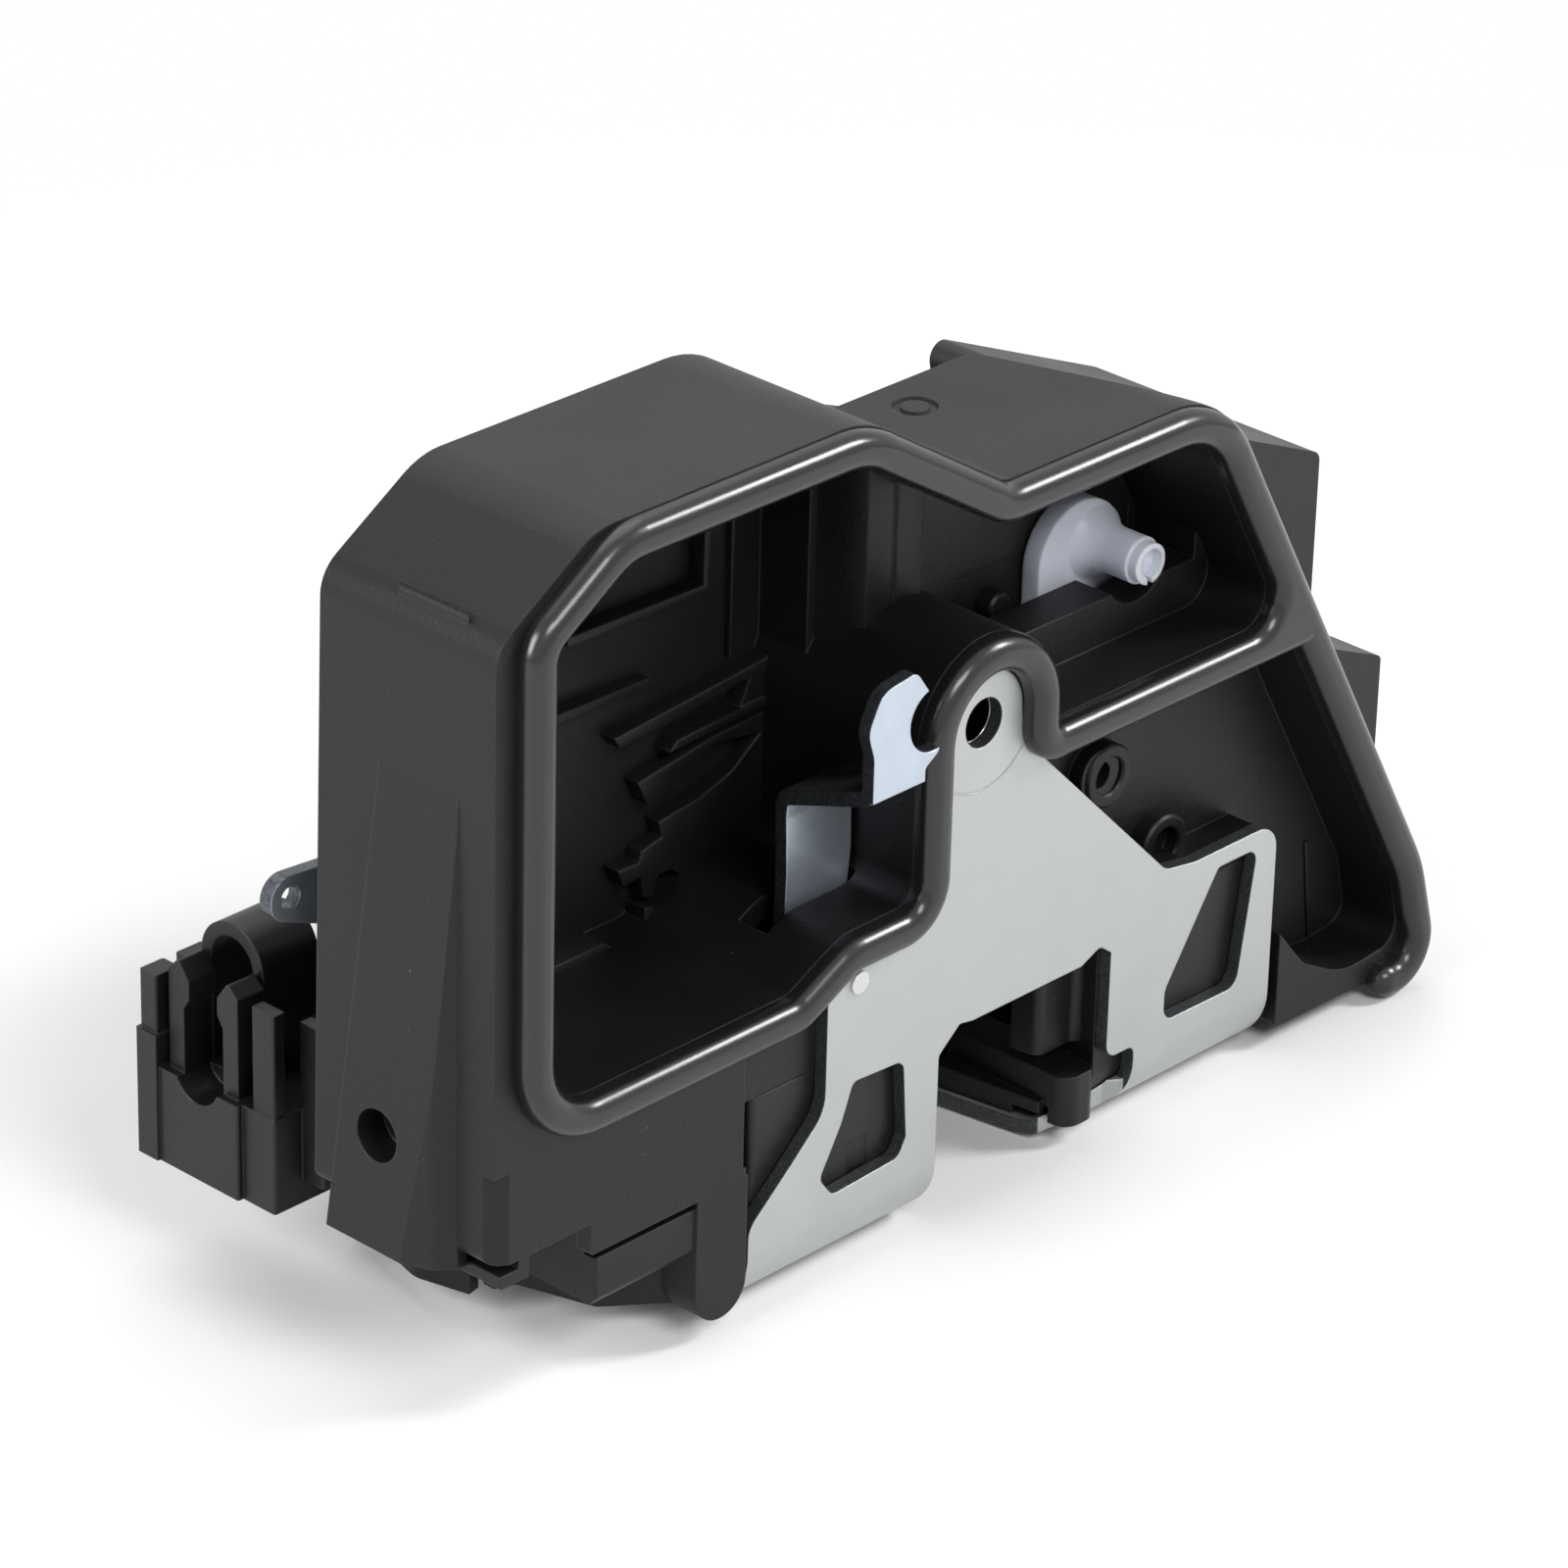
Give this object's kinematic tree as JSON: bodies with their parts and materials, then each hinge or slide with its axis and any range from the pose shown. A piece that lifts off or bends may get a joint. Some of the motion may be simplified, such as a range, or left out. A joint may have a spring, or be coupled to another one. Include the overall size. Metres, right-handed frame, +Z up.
{
  "type": "door latch actuator",
  "caption": "Side-door latch with a steel catch plate, sealed black actuator housing, release lever, key cam and motorised lock gears.",
  "frame": {"origin": "middle of the striker mouth on the front plane, 3 mm above the underside of the steel foot, where the striker's loop slides in", "axes": "+Z up away from the shut face, -Y towards the visible front, +X towards the plug side"},
  "size_m": [0.166, 0.062, 0.1065],
  "materials": {
    "black_plastic": "fine-textured moulded PBT",
    "seal_rubber": "smooth extruded bead, slight sheen",
    "plate_zinc": "satin zinc plating",
    "lever_zinc": "bluish zinc plating",
    "pin_steel": "bright turned steel",
    "collar_steel": "polished",
    "white_pom": "milky acetal",
    "jacket_plastic": "soft overmould",
    "spring_steel": "oiled spring wire",
    "motor_steel": "drawn steel can",
    "brass": "plain",
    "holder_plastic": "moulded nylon"
  },
  "bodies": {
    "housing_assembly": {"front_housing": "black_plastic", "rear_cover": "black_plastic", "latch_plate": "plate_zinc", "gasket": "seal_rubber", "latch_body": "black_plastic", "back_plate": "plate_zinc", "catch_pin": "pin_steel", "pawl_pin": "pin_steel", "catch_spring": "spring_steel", "pawl_spring": "spring_steel", "release_pin": "pin_steel", "wheel_pin": "pin_steel", "lock_pin": "pin_steel", "inside_pin": "pin_steel", "cable_holder": "holder_plastic", "striker_bumper": "seal_rubber", "hole_collar": "collar_steel", "plate_rivet": "pin_steel", "motor": "motor_steel"},
    "catch_body": {"catch": "pin_steel", "catch_jacket": "jacket_plastic"},
    "pawl_body": {"pawl": "pin_steel"},
    "release_lever_body": {"release_lever": "lever_zinc"},
    "key_cam_body": {"key_cam": "white_pom"},
    "wheel_body": {"actuator_wheel": "white_pom"},
    "motor_rotor": {"motor_pinion": "brass", "motor_shaft": "pin_steel"},
    "lock_lever_body": {"lock_lever": "white_pom"},
    "inside_lever_body": {"inside_lever": "lever_zinc"}
  },
  "joints": [
    {"name": "catch_swing", "type": "hinge", "parent": "housing_assembly", "child": "catch_body", "pos_m": [-0.019, 0.024, 0.0086], "axis": [0, 0, 1], "range_deg": [-66, 0], "stiffness_Nm_per_rad": 0.02, "springref_deg": 20.05},
    {"name": "pawl_swing", "type": "hinge", "parent": "housing_assembly", "child": "pawl_body", "pos_m": [0.027, 0.017, 0.0086], "axis": [0, 0, 1], "range_deg": [-14, 0], "stiffness_Nm_per_rad": 0.02, "springref_deg": 20.05},
    {"name": "release_swing", "type": "hinge", "parent": "housing_assembly", "child": "release_lever_body", "pos_m": [-0.027, 0.0099, 0.033], "axis": [0, 1, 0], "range_deg": [-14, 0], "stiffness_Nm_per_rad": 0.06, "springref_deg": 28.65},
    {"name": "key_turn", "type": "hinge", "parent": "housing_assembly", "child": "key_cam_body", "pos_m": [0.0268, 0.0169, 0.0652], "axis": [0, 1, 0], "range_deg": [-8, 40]},
    {"name": "wheel_spin", "type": "hinge", "parent": "housing_assembly", "child": "wheel_body", "pos_m": [0.002, 0.028, 0.046], "axis": [0, 1, 0], "range_deg": [-60, 60]},
    {"name": "motor_spin", "type": "hinge", "parent": "housing_assembly", "child": "motor_rotor", "pos_m": [0.0217, 0.025, 0.0536], "axis": [0, 1, 0], "range_deg": [-192, 192]},
    {"name": "lock_swing", "type": "hinge", "parent": "housing_assembly", "child": "lock_lever_body", "pos_m": [-0.023, 0.0307, 0.0385], "axis": [0, 1, 0], "range_deg": [-18, 18]},
    {"name": "inside_swing", "type": "hinge", "parent": "housing_assembly", "child": "inside_lever_body", "pos_m": [-0.062, 0.0356, 0.046], "axis": [0, 1, 0], "range_deg": [-20, 0], "stiffness_Nm_per_rad": 0.03, "springref_deg": 28.65}
  ],
  "couplings": [
    {"joint": "motor_spin", "follows": "wheel_spin", "ratio": -3.2},
    {"joint": "lock_swing", "follows": "wheel_spin", "ratio": -0.3}
  ]
}
